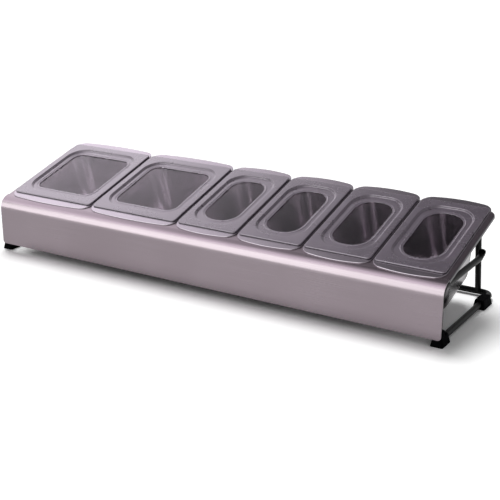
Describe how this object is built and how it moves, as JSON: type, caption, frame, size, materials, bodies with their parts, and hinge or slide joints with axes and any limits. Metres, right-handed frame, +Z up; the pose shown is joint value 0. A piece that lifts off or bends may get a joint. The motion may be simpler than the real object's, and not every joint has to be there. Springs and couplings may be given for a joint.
{
  "type": "countertop topping station",
  "caption": "Tilted steel tray on a bent wire stand with rubber boots, holding lift-out steel pans with clear lift-off lids for keeping food toppings at hand.",
  "frame": {"origin": "middle of the footprint, on the surface the boots stand on", "axes": "+X along the row of pans from the large ones to the small ones, -Y towards the user and the apron, +Z up"},
  "size_m": [0.793, 0.217, 0.1457],
  "materials": {
    "tray_steel": "satin",
    "pan_steel": "satin",
    "clear_plastic": "polished",
    "black_wire": "satin",
    "black_rubber": "matte"
  },
  "bodies": {
    "stand": {"base_wire": "black_wire", "rear_prop": "black_wire", "front_boot_left": "black_rubber", "front_boot_right": "black_rubber", "rear_boot_left": "black_rubber", "rear_boot_right": "black_rubber", "rod_tip_left": "black_rubber", "rod_tip_right": "black_rubber"},
    "tray": {"tray": "tray_steel"},
    "pan_large_1": {"pan_large_1": "pan_steel"},
    "lid_large_1": {"lid_large_1": "clear_plastic"},
    "pan_large_2": {"pan_large_2": "pan_steel"},
    "lid_large_2": {"lid_large_2": "clear_plastic"},
    "pan_small_1": {"pan_small_1": "pan_steel"},
    "lid_small_1": {"lid_small_1": "clear_plastic"},
    "pan_small_2": {"pan_small_2": "pan_steel"},
    "lid_small_2": {"lid_small_2": "clear_plastic"},
    "pan_small_3": {"pan_small_3": "pan_steel"},
    "lid_small_3": {"lid_small_3": "clear_plastic"},
    "pan_small_4": {"pan_small_4": "pan_steel"},
    "lid_small_4": {"lid_small_4": "clear_plastic"}
  },
  "joints": [
    {"name": "tray_lift", "type": "slide", "parent": "stand", "child": "tray", "axis": [0, -0.2756, 0.9613], "range_m": [0, 0.12]},
    {"name": "pan_large_1_lift", "type": "slide", "parent": "tray", "child": "pan_large_1", "axis": [0, -0.2756, 0.9613], "range_m": [0, 0.11]},
    {"name": "lid_large_1_lift", "type": "slide", "parent": "pan_large_1", "child": "lid_large_1", "axis": [0, -0.2756, 0.9613], "range_m": [0, 0.06]},
    {"name": "pan_large_2_lift", "type": "slide", "parent": "tray", "child": "pan_large_2", "axis": [0, -0.2756, 0.9613], "range_m": [0, 0.11]},
    {"name": "lid_large_2_lift", "type": "slide", "parent": "pan_large_2", "child": "lid_large_2", "axis": [0, -0.2756, 0.9613], "range_m": [0, 0.06]},
    {"name": "pan_small_1_lift", "type": "slide", "parent": "tray", "child": "pan_small_1", "axis": [0, -0.2756, 0.9613], "range_m": [0, 0.11]},
    {"name": "lid_small_1_lift", "type": "slide", "parent": "pan_small_1", "child": "lid_small_1", "axis": [0, -0.2756, 0.9613], "range_m": [0, 0.06]},
    {"name": "pan_small_2_lift", "type": "slide", "parent": "tray", "child": "pan_small_2", "axis": [0, -0.2756, 0.9613], "range_m": [0, 0.11]},
    {"name": "lid_small_2_lift", "type": "slide", "parent": "pan_small_2", "child": "lid_small_2", "axis": [0, -0.2756, 0.9613], "range_m": [0, 0.06]},
    {"name": "pan_small_3_lift", "type": "slide", "parent": "tray", "child": "pan_small_3", "axis": [0, -0.2756, 0.9613], "range_m": [0, 0.11]},
    {"name": "lid_small_3_lift", "type": "slide", "parent": "pan_small_3", "child": "lid_small_3", "axis": [0, -0.2756, 0.9613], "range_m": [0, 0.06]},
    {"name": "pan_small_4_lift", "type": "slide", "parent": "tray", "child": "pan_small_4", "axis": [0, -0.2756, 0.9613], "range_m": [0, 0.11]},
    {"name": "lid_small_4_lift", "type": "slide", "parent": "pan_small_4", "child": "lid_small_4", "axis": [0, -0.2756, 0.9613], "range_m": [0, 0.06]}
  ]
}
